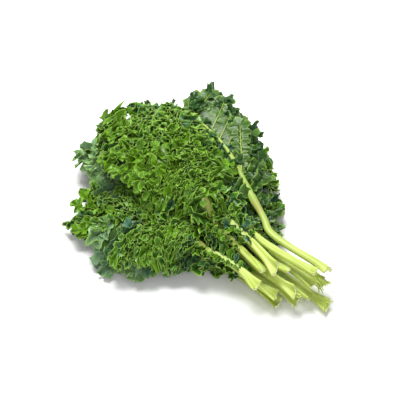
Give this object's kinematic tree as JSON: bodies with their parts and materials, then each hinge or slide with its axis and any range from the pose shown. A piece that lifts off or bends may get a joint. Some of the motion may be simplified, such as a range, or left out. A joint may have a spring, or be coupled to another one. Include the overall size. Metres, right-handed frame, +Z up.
{
  "type": "kale bunch",
  "caption": "Bunch of curly kale lying on its side: thick pale stems gathered at one end, tightly frilled leaf blades fanned out at the other.",
  "frame": {"origin": "centre of the bunch's bounding box, on the surface it lies on", "axes": "+X towards the cut ends of the stems, the leaf blades fan out towards -X, +Y across the fan, +Z up"},
  "size_m": [0.4234, 0.306, 0.103],
  "materials": {
    "stem_flesh": "moist pale green plant flesh, lightly ribbed along its length, satin; the cut ends are matt and paler with browned rims",
    "curly_blade": "thin living leaf with a waxy bloom, satin; mid green with brighter yellow-green frilled rims and a paler, blue-green underside"
  },
  "bodies": {
    "root": {"stem_01": "stem_flesh", "stem_02": "stem_flesh", "stem_03": "stem_flesh", "stem_04": "stem_flesh", "stem_05": "stem_flesh", "stem_06": "stem_flesh", "stem_07": "stem_flesh", "stem_08": "stem_flesh", "stem_09": "stem_flesh", "stem_10": "stem_flesh", "stem_11": "stem_flesh", "stem_12": "stem_flesh", "stem_13": "stem_flesh", "stem_14": "stem_flesh", "leaf_01": "curly_blade", "leaf_02": "curly_blade", "leaf_03": "curly_blade", "leaf_04": "curly_blade", "leaf_05": "curly_blade", "leaf_06": "curly_blade", "leaf_07": "curly_blade", "leaf_08": "curly_blade", "leaf_09": "curly_blade", "leaf_10": "curly_blade", "leaf_11": "curly_blade", "leaf_12": "curly_blade", "leaf_13": "curly_blade", "leaf_14": "curly_blade"}
  },
  "joints": []
}
